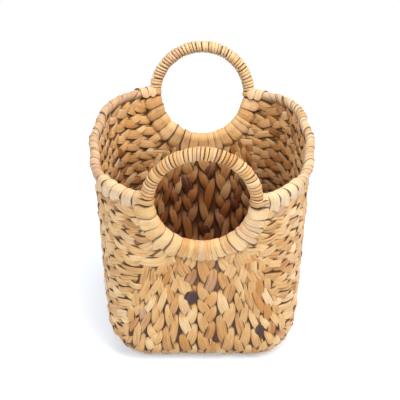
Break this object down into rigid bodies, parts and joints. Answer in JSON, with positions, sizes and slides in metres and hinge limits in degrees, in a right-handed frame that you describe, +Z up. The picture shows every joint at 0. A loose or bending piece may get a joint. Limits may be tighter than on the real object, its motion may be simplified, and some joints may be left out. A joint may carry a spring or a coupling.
{
  "type": "basket",
  "caption": "Oblong storage basket of plaited water hyacinth, open at the top, with a wound hoop handle in each leaning end.",
  "frame": {"origin": "middle of the bounding box on the surface that the basket stands on", "axes": "+X across, to the right seen from the front hoop; +Y from the front hoop to the back hoop; +Z up"},
  "size_m": [0.2768, 0.4256, 0.2875],
  "materials": {
    "side_braid": "dried water hyacinth leaf, plaited, natural pale tan with brown patches, matt with a slight waxy sheen",
    "floor_braid": "dried water hyacinth leaf, plaited, natural tan, some leaves dark brown or orange brown",
    "rim_core": "dried water hyacinth leaf, plaited, under the rim's winding",
    "rim_strand": "broad dried leaf strand, wound, pale straw",
    "hoop_cane": "round cane, under the winding",
    "handle_strand": "narrow dried leaf strand, wound tightly, pale straw"
  },
  "bodies": {
    "root": {"left_row_01": "side_braid", "left_row_02": "side_braid", "left_row_03": "side_braid", "left_row_04": "side_braid", "left_row_05": "side_braid", "left_row_06": "side_braid", "left_row_07": "side_braid", "left_row_08": "side_braid", "left_row_09": "side_braid", "left_row_10": "side_braid", "left_row_11": "side_braid", "left_row_12": "side_braid", "right_row_01": "side_braid", "right_row_02": "side_braid", "right_row_03": "side_braid", "right_row_04": "side_braid", "right_row_05": "side_braid", "right_row_06": "side_braid", "right_row_07": "side_braid", "right_row_08": "side_braid", "right_row_09": "side_braid", "right_row_10": "side_braid", "right_row_11": "side_braid", "right_row_12": "side_braid", "left_fan_01": "floor_braid", "left_fan_02": "floor_braid", "left_fan_03": "floor_braid", "left_fan_04": "floor_braid", "right_fan_01": "floor_braid", "right_fan_02": "floor_braid", "right_fan_03": "floor_braid", "right_fan_04": "floor_braid", "middle_braid_01": "floor_braid", "middle_braid_02": "floor_braid", "middle_braid_03": "floor_braid", "left_rim_core": "rim_core", "right_rim_core": "rim_core", "left_rim_strap": "rim_strand", "right_rim_strap": "rim_strand", "front_hoop": "hoop_cane", "back_hoop": "hoop_cane", "front_handle_strap": "handle_strand", "back_handle_strap": "handle_strand"}
  },
  "joints": []
}
